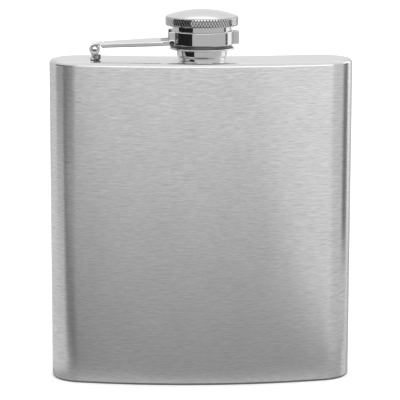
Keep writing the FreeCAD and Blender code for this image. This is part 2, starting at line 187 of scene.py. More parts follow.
def kidney(inset, seam=0.0):
    """The vessel's outline, shrunk by inset: (x, y, length along it) in order from the
    left end of the convex face.  seam sinks a fine line down the middle of the back."""
    pts = []
    run = 0.0

    def arc(cx, cy, r, a0, a1, n, extra=None):
        nonlocal run
        for k in range(n):
            a = a0 + (a1 - a0) * k / n
            rr = r
            if extra:
                rr = r + extra(a)
            pts.append((cx + rr * math.cos(a), cy + rr * math.sin(a), run))
            run += abs(a1 - a0) / n * (r if r > 20 else DEPTH / 2)

    h = math.pi / 2
    arc(0, BOW_C, BOW + DEPTH / 2 - inset, -h - PHI, -h + PHI, 132)
    arc(END_X, END_Y, DEPTH / 2 - inset, -h + PHI, h + PHI, 44)
    back_r = BOW - DEPTH / 2 + inset
    w = 0.0045
    arc(0, BOW_C, back_r, -h + PHI, -h + w, 60)
    arc(0, BOW_C, back_r, -h + w, -h - w, 24,
        (lambda a: seam * math.exp(-((a + h) * back_r / 0.13) ** 2)) if seam else None)
    arc(0, BOW_C, back_r, -h - w, -h - PHI, 60)
    arc(-END_X, END_Y, DEPTH / 2 - inset, h - PHI, 3 * h - PHI, 44)
    return pts, run


def swept(rows):
    """Rings of equal count joined in order into a closed tube."""
    n = len(rows[0])
    verts = [p for ring in rows for p in ring]
    faces = []
    for j in range(len(rows)):
        k = (j + 1) % len(rows)
        for i in range(n):
            m = (i + 1) % n
            faces.append((j * n + i, j * n + m, k * n + m, k * n + i))
    return verts, faces


def strip(path, low, high, thick, corner):
    """A flat metal strip on edge: a rounded rectangle swept along a path in plan."""
    sect = rounded([(-thick / 2, low, corner), (thick / 2, low, corner),
                    (thick / 2, high, corner), (-thick / 2, high, corner)], 3)
    held = []                                              # keep the flats flat up to the corners
    for k, (q, z) in enumerate(sect):
        held.append((q, z))
        q2, z2 = sect[(k + 1) % len(sect)]
        if abs(z2 - z) > 1.0:
            step = math.copysign(0.06, z2 - z)
            held += [(q, z + step), (q2, z2 - step)]
    sect = held
    verts, faces, uv = [], [], []
    n, s = len(path), len(sect)
    run = 0.0
    for i, p in enumerate(path):
        a, b = path[max(i - 1, 0)], path[min(i + 1, n - 1)]
        d = Vector((b[0] - a[0], b[1] - a[1])).normalized()
        if i:
            run += math.hypot(p[0] - path[i - 1][0], p[1] - path[i - 1][1])
        nx, ny = d.y, -d.x
        for q, z in sect:
            verts.append((p[0] + nx * q, p[1] + ny * q, z))
            uv.append((run, z, 0.0))
    for i in range(n - 1):
        for k in range(s):
            m = (k + 1) % s
            faces.append((i * s + k, i * s + m, (i + 1) * s + m, (i + 1) * s + k))
    faces.append(tuple(range(s - 1, -1, -1)))
    faces.append(tuple((n - 1) * s + k for k in range(s)))
    return verts, faces, uv


def smooth_path(points, step, sigma):
    """Resample a path evenly and ease its corners."""
    pts = np.array(points, float)
    seg = np.hypot(*np.diff(pts, axis=0).T)
    s = np.concatenate([[0], np.cumsum(seg)])
    n = int(s[-1] / step)
    t = np.linspace(0, s[-1], n + 1)
    q = np.stack([np.interp(t, s, pts[:, 0]), np.interp(t, s, pts[:, 1])], 1)
    r = int(3 * sigma / step) + 1
    k = np.exp(-0.5 * (np.arange(-r, r + 1) * step / sigma) ** 2)
    k /= k.sum()
    pad = np.concatenate([2 * q[:1] - q[1:r + 1][::-1], q, 2 * q[-1:] - q[-r - 1:-1][::-1]])
    out = np.stack([np.convolve(pad[:, c], k, "valid") for c in (0, 1)], 1)
    return [tuple(p) for p in out]


def settle(obj):
    """Turn an object's modifiers into its mesh."""
    dg = bpy.context.evaluated_depsgraph_get()
    dg.update()
    mesh = bpy.data.meshes.new_from_object(obj.evaluated_get(dg))
    old = obj.data
    obj.modifiers.clear()
    obj.data = mesh
    bpy.data.meshes.remove(old)


def plain(name, verts, faces, origin=(0, 0, 0), spin=None):
    """A bare helper mesh, used for joining or cutting and then removed."""
    mesh = bpy.data.meshes.new(name)
    mesh.from_pydata([tuple(c * MM for c in v) for v in verts], [], faces)
    bm = bmesh.new()
    bm.from_mesh(mesh)
    bmesh.ops.remove_doubles(bm, verts=bm.verts, dist=1e-7)
    bmesh.ops.recalc_face_normals(bm, faces=bm.faces)
    bm.to_mesh(mesh)
    bm.free()
    m = Matrix.Translation(Vector(origin) * MM)
    if spin is not None:
        m = m @ spin
    mesh.transform(m)
    obj = bpy.data.objects.new(name, mesh)
    scene.collection.objects.link(obj)
    return obj


def combine(obj, other, how):
    mod = obj.modifiers.new("bool", "BOOLEAN")
    mod.operation = how
    mod.solver = "EXACT"
    mod.object = other
    settle(obj)
    bpy.data.objects.remove(other)


def tube_y(r, y0, y1, x, z, segs=48):
    ring = [(x + r * math.cos(TAU * i / segs), z + r * math.sin(TAU * i / segs)) for i in range(segs)]
    return prism_y(ring, y0, y1)


def prism_y(ring, y0, y1):
    n = len(ring)
    verts = [(x, y0, z) for x, z in ring] + [(x, y1, z) for x, z in ring]
    faces = [tuple(range(n)), tuple(range(2 * n - 1, n - 1, -1))]
    faces += [(i, (i + 1) % n, n + (i + 1) % n, n + i) for i in range(n)]
    return verts, faces


def prism_z(ring, z0, z1):
    n = len(ring)
    verts = [(x, y, z0) for x, y in ring] + [(x, y, z1) for x, y in ring]
    faces = [tuple(range(n)), tuple(range(2 * n - 1, n - 1, -1))]
    faces += [(i, (i + 1) % n, n + (i + 1) % n, n + i) for i in range(n)]
    return verts, faces


def finish_piece(obj, mats, body, stands_for, bevel=0.0, segments=3, angle=32.0):
    """Round the edges of a joined helper mesh and make it a piece."""
    if bevel:
        b = obj.modifiers.new("bevel", "BEVEL")
        b.width = bevel * MM
        b.segments = segments
        b.limit_method = "ANGLE"
        b.angle_limit = math.radians(angle)
        b.use_clamp_overlap = True
        b.harden_normals = False
        settle(obj)
    mesh = obj.data
    mesh.materials.clear()
    for m in mats:
        mesh.materials.append(m)
    mesh.polygons.foreach_set("material_index", [0] * len(mesh.polygons))
    mesh.polygons.foreach_set("use_smooth", [True] * len(mesh.polygons))
    mesh.set_sharp_from_angle(angle=math.radians(angle))
    wn = obj.modifiers.new("weighted", "WEIGHTED_NORMAL")
    wn.keep_sharp = True
    wn.weight = 80
    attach(obj, body)
    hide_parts(*stands_for)
    return obj


# ---------------------------------------------------------------------------
# Materials
# ---------------------------------------------------------------------------


class Nodes:
    """A small hand for building a node tree."""

    def __init__(self, name):
        self.mat = bpy.data.materials.new(name)
        self.mat.use_nodes = True
        self.tree = self.mat.node_tree
        self.bsdf = self.tree.nodes["Principled BSDF"]

    def add(self, kind, **props):
        node = self.tree.nodes.new(kind)
        for k, v in props.items():
            setattr(node, k, v)
        return node

    def link(self, a, b):
        self.tree.links.new(a, b)

    def put(self, socket, value):
        if hasattr(value, "is_output"):
            self.link(value, socket)
        else:
            socket.default_value = value

    def math(self, op, a, b=0.0, clamp=False):
        node = self.add("ShaderNodeMath", operation=op, use_clamp=clamp)
        self.put(node.inputs[0], a)
        self.put(node.inputs[1], b)
        return node.outputs[0]

    def noise(self, vector, scale, detail=2.0, rough=0.5, distortion=0.0):
        node = self.add("ShaderNodeTexNoise", noise_dimensions="3D")
        self.put(node.inputs["Vector"], vector)
        node.inputs["Scale"].default_value = scale
        node.inputs["Detail"].default_value = detail
        node.inputs["Roughness"].default_value = rough
        node.inputs["Distortion"].default_value = distortion
        return node.outputs["Fac"]

    def mapping(self, vector, scale=(1, 1, 1), rotation=(0, 0, 0), location=(0, 0, 0)):
        node = self.add("ShaderNodeMapping")
        self.link(vector, node.inputs["Vector"])
        node.inputs["Scale"].default_value = scale
        node.inputs["Rotation"].default_value = rotation
        node.inputs["Location"].default_value = location
        return node.outputs["Vector"]

    def span(self, value, a, b, c, d, smooth=False):
        node = self.add("ShaderNodeMapRange", clamp=True)
        if smooth:
            node.interpolation_type = "SMOOTHSTEP"
        self.put(node.inputs["Value"], value)
        for name, v in (("From Min", a), ("From Max", b), ("To Min", c), ("To Max", d)):
            node.inputs[name].default_value = v
        return node.outputs["Result"]

    def grey(self, value):
        node = self.add("ShaderNodeCombineColor")
        for i in range(3):
            self.put(node.inputs[i], value)
        return node.outputs["Color"]

    def bump(self, height, strength, distance, normal=None):
        node = self.add("ShaderNodeBump")
        node.inputs["Strength"].default_value = strength
        node.inputs["Distance"].default_value = distance
        self.link(height, node.inputs["Height"])
        if normal is not None:
            self.link(normal, node.inputs["Normal"])
        return node.outputs["Normal"]


def brushed_steel(name, base=0.62, rough=0.30, aniso=0.75, contrast=1.0, along="u"):
    """Stainless sheet brushed with an abrasive belt: long fine lines, broken into strokes."""
    n = Nodes(name)
    uv = n.add("ShaderNodeTexCoord").outputs["UV"]          # 1 unit is 100 mm
    turn = 0.0 if along == "u" else math.pi / 2

    def lines(sx, sy, tilt, shift, detail=2.0):
        v = n.mapping(uv, scale=(1, 1, 1), rotation=(0, 0, turn + tilt), location=(shift, shift * 0.7, 0))
        v = n.mapping(v, scale=(sx, sy, 1))
        return n.noise(v, 1.0, detail, 0.6)

    fine = lines(46, 900, 0.004, 3.1)        # 2 mm strokes, 0.1 mm lines
    mid = lines(26, 420, -0.004, 7.7)        # 4 mm strokes, 0.25 mm lines
    coarse = lines(9, 170, 0.003, 1.9)       # longer soft bands
    skew = lines(36, 360, 0.018, 12.3)       # strokes a little off line
    cloud = n.noise(n.mapping(uv, scale=(9, 7, 1)), 1.0, 3.0, 0.55)
    mix = n.math("ADD", n.math("MULTIPLY", fine, 0.30), n.math("MULTIPLY", mid, 0.34))
    mix = n.math("ADD", mix, n.math("MULTIPLY", coarse, 0.16))
    mix = n.math("ADD", mix, n.math("MULTIPLY", skew, 0.20))
    deep = n.span(lines(11, 420, 0.012, 21.0), 0.66, 0.78, 0.0, 1.0)   # a few deeper strokes
    k = 0.30 * contrast
    tone = n.span(mix, 0.36, 0.64, base * (1 - k), min(base * (1 + k), 0.98))
    tone = n.math("MULTIPLY", tone, n.span(deep, 0, 1, 1.0, 1.0 - 0.10 * contrast))
    tone = n.math("MULTIPLY", tone, n.span(cloud, 0.3, 0.7, 0.975, 1.025))
    n.link(n.grey(tone), n.bsdf.inputs["Base Color"])
    n.bsdf.inputs["Metallic"].default_value = 1.0
    n.link(n.span(mix, 0.35, 0.65, rough + 0.05, rough - 0.04), n.bsdf.inputs["Roughness"])
    n.bsdf.inputs["Anisotropic"].default_value = aniso
    n.bsdf.inputs["Anisotropic Rotation"].default_value = 0.25
    tangent = n.add("ShaderNodeTangent", direction_type="RADIAL", axis="Z")
    n.link(tangent.outputs["Tangent"], n.bsdf.inputs["Tangent"])
    n.link(n.bump(mix, 0.22 * contrast, 0.00004), n.bsdf.inputs["Normal"])
    return n.mat


def polished_steel(name, base=0.70, rough=0.07, marks=1.0):
    """Buffed steel: a mirror with faint buffing haze, hairlines and handling marks."""
    n = Nodes(name)
    pos = n.add("ShaderNodeTexCoord").outputs["Object"]
    haze = n.noise(n.mapping(pos, scale=(260, 260, 120)), 1.0, 4.0, 0.6)
    hair = n.noise(n.mapping(pos, scale=(900, 900, 9000), rotation=(0.08, 0.05, 0)), 1.0, 2.0, 0.7)
    fleck = n.noise(n.mapping(pos, scale=(1500, 1500, 1500)), 1.0, 2.0, 0.5)
    tone = n.span(haze, 0.3, 0.7, base * 0.97, min(base * 1.03, 0.98))
    tone = n.math("MULTIPLY", tone, n.span(hair, 0.35, 0.65, 1 - 0.02 * marks, 1.0))
    n.link(n.grey(tone), n.bsdf.inputs["Base Color"])
    n.bsdf.inputs["Metallic"].default_value = 1.0
    r = n.span(haze, 0.3, 0.7, rough * 0.75, rough * 1.3)
    r = n.math("ADD", r, n.span(fleck, 0.62, 0.75, 0.0, 0.04 * marks))
    n.link(r, n.bsdf.inputs["Roughness"])
    n.link(n.bump(hair, 0.05 * marks, 0.00002), n.bsdf.inputs["Normal"])
    return n.mat


def satin_plate(name, base=0.70, rough=0.20):
    """The pressed end plates: fine lines down their length under a light polish."""
    n = Nodes(name)
    pos = n.add("ShaderNodeTexCoord").outputs["Object"]
    line = n.noise(n.mapping(pos, scale=(300, 5200, 300), rotation=(0, 0, 0.01)), 1.0, 2.0, 0.6)
    broad = n.noise(n.mapping(pos, scale=(60, 900, 60)), 1.0, 2.0, 0.5)
    haze = n.noise(n.mapping(pos, scale=(90, 90, 90)), 1.0, 3.0, 0.5)
    mix = n.math("ADD", n.math("MULTIPLY", line, 0.6), n.math("MULTIPLY", broad, 0.4))
    tone = n.span(mix, 0.35, 0.65, base * 0.965, min(base * 1.035, 0.98))
    n.link(n.grey(tone), n.bsdf.inputs["Base Color"])
    n.bsdf.inputs["Metallic"].default_value = 1.0
    n.link(n.span(haze, 0.3, 0.7, rough - 0.03, rough + 0.04), n.bsdf.inputs["Roughness"])
    n.link(n.bump(mix, 0.10, 0.00002), n.bsdf.inputs["Normal"])
    return n.mat


def seal_rubber(name):
    n = Nodes(name)
    pos = n.add("ShaderNodeTexCoord").outputs["Object"]
    grain = n.noise(n.mapping(pos, scale=(2600, 2600, 2600)), 1.0, 3.0, 0.6)
    soft = n.noise(n.mapping(pos, scale=(240, 240, 240)), 1.0, 3.0, 0.5)
    n.link(n.grey(n.span(soft, 0.3, 0.7, 0.030, 0.048)), n.bsdf.inputs["Base Color"])
    n.link(n.span(grain, 0.3, 0.7, 0.55, 0.75), n.bsdf.inputs["Roughness"])
    n.link(n.bump(grain, 0.3, 0.00005), n.bsdf.inputs["Normal"])
    return n.mat


M_BRUSH = brushed_steel("brushed_body_steel", base=0.74, rough=0.30, aniso=0.75)
M_RIM = polished_steel("ground_rim_steel", base=0.64, rough=0.14)
M_PLATE = satin_plate("satin_plate_steel", base=0.72, rough=0.20)
M_POL = polished_steel("polished_cap_steel", base=0.68, rough=0.06)
M_SMALL = polished_steel("polished_small_steel", base=0.68, rough=0.08, marks=1.5)
KNOB_R, K_LOW, K_HIGH, K_TOP = 11.33, 10.9, 13.75, 15.74
DIAMONDS, CUT = 76, 0.11


def knurled_steel(name):
    """Knurled steel: the tops of the diamonds are burnished, and the grooves carry painted shade."""
    n = Nodes(name)
    uv = n.add("ShaderNodeTexCoord").outputs["UV"]
    sep = n.add("ShaderNodeSeparateXYZ")
    n.link(uv, sep.inputs[0])
    half = (math.pi * KNOB_R / DIAMONDS) / math.tan(math.radians(30))
    a = n.math("MULTIPLY", sep.outputs[0], 10.0 / TAU * DIAMONDS * 2)
    b = n.math("MULTIPLY", n.math("SUBTRACT", sep.outputs[1], (K_LOW + K_HIGH) / 200), 100 / half)
    u = n.math("PINGPONG", n.math("ADD", a, b), 1.0)
    v = n.math("PINGPONG", n.math("SUBTRACT", a, b), 1.0)
    groove = n.math("MAXIMUM", u, v)
    pos = n.add("ShaderNodeTexCoord").outputs["Object"]
    haze = n.noise(n.mapping(pos, scale=(700, 700, 700)), 1.0, 3.0, 0.6)
    # Painted shade: the colour falls from 0.74 on the tops to 0.16 in the grooves.
    tone = n.math("MULTIPLY", n.span(groove, 0.66, 0.90, 0.74, 0.16, True), n.span(haze, 0.3, 0.7, 0.88, 1.06))
    n.link(n.grey(tone), n.bsdf.inputs["Base Color"])
    n.bsdf.inputs["Metallic"].default_value = 1.0
    n.link(n.span(groove, 0.6, 0.9, 0.05, 0.32), n.bsdf.inputs["Roughness"])
    n.link(n.bump(haze, 0.08, 0.00002), n.bsdf.inputs["Normal"])
    return n.mat


M_KNURL = knurled_steel("knurled_rim_steel")
M_INNER = polished_steel("turned_thread_steel", base=0.62, rough=0.16, marks=2.0)
# A weld tint and painted shade: dark steel for the foot of the hinge lug.
M_WELD_TINT_AND_SHADE = polished_steel("weld_tint_and_shade_steel", base=0.24, rough=0.30, marks=2.5)
# Painted shade: near-black steel for the groove under the collar band.
M_GAP_PAINTED_SHADE = polished_steel("shaded_groove_steel", base=0.13, rough=0.35, marks=2.0)
# Near-black steel for the hollow rivets, coloured dark all over.
M_BLACK = polished_steel("near_black_rivet_steel", base=0.07, rough=0.25, marks=1.5)
M_SEAL = seal_rubber("seal_black_rubber")

# ---------------------------------------------------------------------------
# Camera
# ---------------------------------------------------------------------------
CAM_L, CAM_Z, YAW, PITCH, ROLL = 649.24, 178.66, -0.041916, 0.184867, 0.002682
cam_data = bpy.data.cameras.new("photo_camera")
cam_data.sensor_width = 36.0
cam_data.lens = 188.04
cam_data.shift_x = -0.0030
cam_data.clip_start, cam_data.clip_end = 0.01, 20.0
cam = bpy.data.objects.new("photo_camera", cam_data)
scene.collection.objects.link(cam)
scene.camera = cam
fwd = Vector((-math.sin(YAW) * math.cos(PITCH), math.cos(YAW) * math.cos(PITCH), -math.sin(PITCH)))
side = Vector((math.cos(YAW), math.sin(YAW), 0.0))
up = side.cross(fwd)
cam_right = side * math.cos(ROLL) + up * math.sin(ROLL)
cam_up = up * math.cos(ROLL) - side * math.sin(ROLL)
cam.matrix_world = Matrix((
    (cam_right.x, cam_up.x, -fwd.x, CAM_L * math.sin(YAW) * MM),
    (cam_right.y, cam_up.y, -fwd.y, -CAM_L * math.cos(YAW) * MM),
    (cam_right.z, cam_up.z, -fwd.z, CAM_Z * MM),
    (0, 0, 0, 1)))

# ---------------------------------------------------------------------------
# Vessel: wrapper and end plates
# ---------------------------------------------------------------------------
SEAM = 0.05
outer, ROUND = kidney(0.0, SEAM)
inner, _ = kidney(WALL)
rows, uvs = [], []


def ring_of(pts, z):
    return [(x, y, z) for x, y, s in pts]


def add_ring(pts, z, v):
    rows.append(ring_of(pts, z))
    uvs.extend((s, v, ROUND) for x, y, s in outer)


steps = 24
for k in range(steps + 1):
    z = SEAM_BASE + (SEAM_TOP - SEAM_BASE) * k / steps
    add_ring(outer, z, z)
for k in range(steps, -1, -1):
    z = SEAM_BASE + (SEAM_TOP - SEAM_BASE) * k / steps
    add_ring(inner, z, z)
verts, faces = swept(rows)
make("vessel_wrapper", verts, faces, [M_BRUSH], "flask", ["body_wrapper"], uv=uvs)

TOP_ROUND, PLATE, PAN = 1.25, 0.6, 0.8
SPIGOT_R = 7.1


def toward(pts, z, t, r):
    """A ring part way from an outline to a circle of radius r on the cap's axis."""
    out = []
    for x, y, s in pts:
        a = math.atan2(y - AY, x)
        out.append(((1 - t) * x + t * r * math.cos(a), (1 - t) * y + t * (AY + r * math.sin(a)), z))
    return out


def end_plate(name, node, z_edge, z_face, radius, hole, gauge, recess=0.0, rim=0.0):
    """A pressed end plate with a rounded rim.  z_edge is where it meets the wrapper."""
    up_dir = 1.0 if z_face > z_edge else -1.0
    rings, marks, uv = [], [], []

    def put(points, mark, v):
        rings.append(points)
        marks.append(mark)
        uv.extend((s, v, ROUND) for x, y, s in outer)

    put(ring_of(kidney(PAN)[0], z_edge), 1, z_edge)
    put(ring_of(outer, z_edge), 0, z_edge)
    z_turn = z_face - up_dir * radius
    put(ring_of(outer, z_turn), 1, z_turn)
    for k in range(1, 11):
        a = math.pi / 2 * k / 10
        z = z_turn + up_dir * radius * math.sin(a)
        put(ring_of(kidney(radius * (1 - math.cos(a)), SEAM * math.cos(a))[0], z), 1 if k < 10 else 2, z)
    z_pan = z_face
    edge = radius
    if recess:
        put(ring_of(kidney(rim - 0.12)[0], z_face), 2, z_face)
        put(ring_of(kidney(rim)[0], z_face - up_dir * 0.06), 2, z_face)
        z_pan = z_face - up_dir * recess
        put(ring_of(kidney(rim + 0.10)[0], z_pan + up_dir * 0.08), 2, z_face)
        put(ring_of(kidney(rim + 0.22)[0], z_pan), 2, z_face)
        edge = rim + 0.22
    pan = kidney(edge)[0]
    for t in (0.03, 0.1, 0.25, 0.45, 0.65, 0.85):
        put(toward(pan, z_pan, t, hole), 2, z_face)
    put(toward(pan, z_pan, 1.0, hole), 2, z_face)
    z_in = z_pan - up_dir * gauge
    under = kidney(PAN)[0]
    put(toward(under, z_in, 1.0, hole), 2, z_face)
    for t in (0.85, 0.65, 0.45, 0.25, 0.1):
        put(toward(under, z_in, t, hole), 2, z_face)
    put(ring_of(under, z_in), 2, z_face)
    verts, faces = swept(rings)
    n = len(outer)
    index = [marks[i // n] for i in range(len(faces))]
    make(name, verts, faces, [M_BRUSH, M_RIM, M_PLATE], "flask", [node],
         index=index, uv=uv)


end_plate("top_plate_pressing", "top_plate", SEAM_TOP, H, TOP_ROUND, SPIGOT_R, PLATE)
end_plate("base_plate_pressing", "bottom_plate", SEAM_BASE, 0.0, 0.75, 0.0, PLATE, recess=0.4, rim=1.5)

# ---------------------------------------------------------------------------
# Spout, turned, with a run of thread
# ---------------------------------------------------------------------------
ROOT_R, CREST_R, BORE_R = 7.35, 7.8, 6.5
PITCH_T, TURNS, T0 = 1.5, 2.3, 3.95


def thread_lift(theta, z, shift=0.0):
    """0 at the root and 1 at the crest of a helical thread that runs out at both ends."""
    turn = theta / TAU
    n = math.floor((z - T0 - shift) / PITCH_T - turn + 0.5)
    along = n + turn
    gap = abs((z - T0 - shift) - along * PITCH_T)
    lift = max(0.0, min(1.0, (0.425 - gap) / 0.25))
    ends = min(1.0, max(0.0, along / 0.12)) * min(1.0, max(0.0, (TURNS - along) / 0.12))
    return lift * ends


LIP_R = 7.15
profile = [(BORE_R, 2.0), (BORE_R, 5.0)]
lip = rounded([(BORE_R, 8.3, 0.15), (LIP_R, 8.3, 0.22), (LIP_R, 7.0), (BORE_R, 7.0)], 4)
profile += [p for p in lip if p[1] > 7.01]
zone = [8.0 - 0.07 * k for k in range(int((8.0 - 3.5) / 0.07) + 1)]
profile += [(ROOT_R, z) for z in zone]
collar = rounded([(ROOT_R, 3.6), (ROOT_R, 3.4, 0.12), (7.8, 3.4, 0.3), (7.8, 1.55, 0.45),
                  (7.45, 1.0, 0.2), (7.45, 0.10, 0.08), (7.75, 0.0), (7.1, 0.0), (7.1, -0.6),
                  (BORE_R, -0.6)], 5)
profile += [p for p in collar if p[1] < 3.49]
verts, faces, uv = lathe(profile, 144, lambda t, r, z: (
    ROOT_R + (CREST_R - ROOT_R) * thread_lift(t, z) if abs(r - ROOT_R) < 1e-6 and 3.5 < z < 8.05 else r))
make("spout_turning", verts, faces, [M_POL], "flask", ["neck_spout"],
     uv=uv, origin=(0, AY, H), angle=38)

# ---------------------------------------------------------------------------
# Hinge lug and pin
# ---------------------------------------------------------------------------
px, pz = PIN
pin_h = pz - H
foot = []
half_w, length = 2.85 / 2, 6.4 / 2
lug_lo, lug_hi = box_mm("hinge_lug")
FOOT_SHIFT = (lug_lo.y + lug_hi.y) / 2 - AY
for k in range(48):
    a = TAU * k / 48
    c, s = math.cos(a), math.sin(a)
    foot.append((math.copysign(abs(c) ** 0.92, c) * half_w,
                 FOOT_SHIFT + math.copysign(abs(s) ** 0.80, s) * length))
lug = plain("lug_forging", *prism_z(foot, 0.0, 0.45), origin=(px, AY, H))
bevel = lug.modifiers.new("b", "BEVEL")
bevel.width, bevel.segments, bevel.limit_method = 0.22 * MM, 4, "ANGLE"
bevel.angle_limit = math.radians(50)
settle(lug)
boss = [(0.5 + x, (y - FOOT_SHIFT) * 0.5 + 0.2) for x, y in foot]         # the weld that holds the lug
boss = plain("boss", *prism_z(boss, 0.2, 1.75), origin=(px, AY, H))
bevel = boss.modifiers.new("b", "BEVEL")
bevel.width, bevel.segments, bevel.limit_method = 0.35 * MM, 4, "ANGLE"
bevel.angle_limit = math.radians(50)
settle(boss)
stem = []
for k in range(41):                                       # eye, then a waist, then a flared root
    a = math.radians(-35 + 250 * k / 40)
    stem.append((1.6 * math.cos(a), pin_h + 1.6 * math.sin(a)))
for x, z in ((-0.98, 1.75), (-0.9, 1.2), (-0.95, 0.75), (-1.12, 0.42), (-1.25, 0.2),
             (1.25, 0.2), (1.12, 0.42), (0.95, 0.75), (0.9, 1.2), (0.98, 1.75)):
    stem.append((x, z))
eye = plain("eye", *prism_y(stem, -1.1, 1.1), origin=(px, AY, H))
bevel = eye.modifiers.new("b", "BEVEL")
bevel.width, bevel.segments, bevel.limit_method = 0.16 * MM, 3, "ANGLE"
bevel.angle_limit = math.radians(50)
settle(eye)
combine(lug, boss, "UNION")
combine(lug, eye, "UNION")
hole = plain("hole", *tube_y(0.66, -3, 3, 0, pin_h), origin=(px, AY, H))
combine(lug, hole, "DIFFERENCE")
finish_piece(lug, [M_SMALL, M_WELD_TINT_AND_SHADE], "flask", ["hinge_lug"])
# The faces low on the lug and its weld take the dark steel: a weld tint, with painted shade under the lug.
for poly in lug.data.polygons:
    c = poly.center / MM
    if c.z < H + 1.80 and (abs(poly.normal.z) < 0.999 or c.z > H + 0.5):
        poly.material_index = 1

PIN_R, HEAD_R, PIN_HALF, HEAD = 0.65, 0.9, 3.65, 0.4
pin_profile = [(0.0, -PIN_HALF - HEAD)]
for k in range(9):                                         # domed head
    a = math.pi / 2 * k / 8
    pin_profile.append((max(0.02, HEAD_R * math.sin(a)), -PIN_HALF - 0.06 - (HEAD - 0.06) * math.cos(a)))
pin_profile += [(HEAD_R, -PIN_HALF), (PIN_R, -PIN_HALF)]
pin_profile += [(PIN_R, y) for y in (-2.4, -1.2, 0, 1.2, 2.4)]
pin_profile += [(r, -y) for r, y in reversed(pin_profile[:11])]
verts, faces, uv = lathe(pin_profile, 40)
verts = [(x, z, -y) for x, y, z in verts]
make("hinge_pin_turned", verts, faces, [M_SMALL], "flask", ["hinge_pin"],
     uv=uv, origin=(px, AY, pz), angle=40)

# ---------------------------------------------------------------------------
# Lanyard arm: one pressing, with rolled ends at the pin and a fork at the cap
# ---------------------------------------------------------------------------
RISE = math.radians(2.55)
GAUGE = 0.55
TOPZ, LOWZ = 1.65, 0.25
HALF, CURL_HALF, SLOT = 3.7, 3.55, 1.2
FLARE0, FLARE1, FORK0, REACH, LIFT, EYE = 4.5, 20.0, 20.6, 23.915, 0.92, 0.95
FORK_OUT = 5.85
BEND = 0.30                                                # outside radius of the fold


def half_width(x):
    if x <= FLARE0:
        return CURL_HALF + (HALF - CURL_HALF) * min(1.0, max(0.0, x / 1.75))
    t = min(1.0, (x - FLARE0) / (FLARE1 - FLARE0))
    t = t * t * (3 - 2 * t)
    return HALF + (FORK_OUT - HALF) * t


web_x = [0.0, 0.5, 1.0, 1.4, 1.75, 1.9, 2.1, 2.4, 2.9, 3.5, 4.2] + list(np.linspace(5.0, 20.0, 24)) + [20.3, 20.6, 20.8, 21.2, 21.8, 22.4]
eye_x = [REACH + EYE * math.sin(math.radians(a)) for a in range(-75, 90, 15)]
stations = [("web", x) for x in web_x] + [("web", x) for x in eye_x if x > 22.6]
curl = [("curl", math.radians(90 + 305 * (1 - k / 44))) for k in range(44)]
stations = curl + stations

# The plan of the pressing is cut from a grid: rows of stations, columns across.
grid = []
for kind, value in stations:
    if kind == "curl":
        x, z = TOPZ * math.cos(value), TOPZ * math.sin(value)
        w = CURL_HALF
        ys = [-w, -w + 0.25, -w + 0.55, -SLOT - 0.4, -SLOT, 0.0, SLOT, SLOT + 0.4, w - 0.55, w - 0.25, w]
        row = {}
        for c, y in zip((9, 10, 11, 12, 13, 14, 15, 16, 17, 18, 19), ys):
            row[c] = (x, y, z)
        grid.append(("curl", row))
        continue
    x = value
    w = half_width(x)
    top, low = TOPZ, LOWZ
    if x > 22.6:
        d = x - REACH
        h = math.sqrt(max(0.0, EYE * EYE - d * d))
        if x < REACH:
            top, low = max(TOPZ, LIFT + h), min(LOWZ, LIFT - h)
        else:
            top, low = LIFT + h, LIFT - h
    row = {}
    if x < 20.6 + 1e-6:
        bend = BEND * min(1.0, max(0.05, (x - 0.6) / 1.2))
        low_here = low + (top - bend - low) * min(1.0, max(0.0, (2.4 - x) / 0.6)) ** 1.5
        side_pts = []
        for k in range(5):
            side_pts.append((w, low_here + (top - bend - low_here) * k / 5))
        for k in range(5):
            a = math.pi / 2 * k / 4
            side_pts.append((w - bend + bend * math.cos(a), top - bend + bend * math.sin(a)))
        for k, (y, z) in enumerate(side_pts):
            row[k] = (x, -y, z)
            row[28 - k] = (x, y, z)
        edge = w - bend
        for c, y in ((10, -edge + (edge - SLOT) * 0.25), (11, -edge + (edge - SLOT) * 0.5),
                     (12, -SLOT - 0.4), (13, -SLOT), (14, 0.0), (15, SLOT), (16, SLOT + 0.4),
                     (17, edge - (edge - SLOT) * 0.5), (18, edge - (edge - SLOT) * 0.25)):
            row[c] = (x, y, top)
    else:
        for k in range(10):
            z = low + (top - low) * k / 9
            row[k] = (x, -w, z)
            row[28 - k] = (x, w, z)
    grid.append(("web", row))

# Rows: curl rows use columns 9..19 of the web; at x = 0 they meet the web rows.
verts, index_of = [], {}
for i, (kind, row) in enumerate(grid):
    for c, p in row.items():
        index_of[(i, c)] = len(verts)
        verts.append(p)
faces = []
for i in range(len(grid) - 1):
    kind, row = grid[i]
    nxt = grid[i + 1][1]
    x0 = next(iter(row.values()))[0]
    for c in range(28):
        need = [(i, c), (i, c + 1), (i + 1, c + 1), (i + 1, c)]
        if any(q not in index_of for q in need):
            continue
        in_slot = 13 <= c <= 14
        if in_slot and (kind == "curl" or x0 < 2.9 - 1e-6):
            continue
        if kind == "curl" and not 9 <= c < 19:
            continue
        if 9 <= c < 19 and kind == "web" and x0 > FORK0 - 1e-6:
            continue
        faces.append(tuple(index_of[q] for q in need))
arm = plain("arm_pressing", verts, faces)
bm = bmesh.new()
bm.from_mesh(arm.data)
loose = [v for v in bm.verts if not v.link_faces]
bmesh.ops.delete(bm, geom=loose, context="VERTS")
bmesh.ops.remove_doubles(bm, verts=bm.verts, dist=2e-6)
bmesh.ops.recalc_face_normals(bm, faces=bm.faces)
ref = max(bm.faces, key=lambda f: f.calc_area())
if ref.normal.z < 0:
    bmesh.ops.reverse_faces(bm, faces=bm.faces)
bm.to_mesh(arm.data)
bm.free()
solid = arm.modifiers.new("gauge", "SOLIDIFY")
solid.thickness = GAUGE * MM
solid.offset = -1.0
solid.use_even_offset = True
settle(arm)
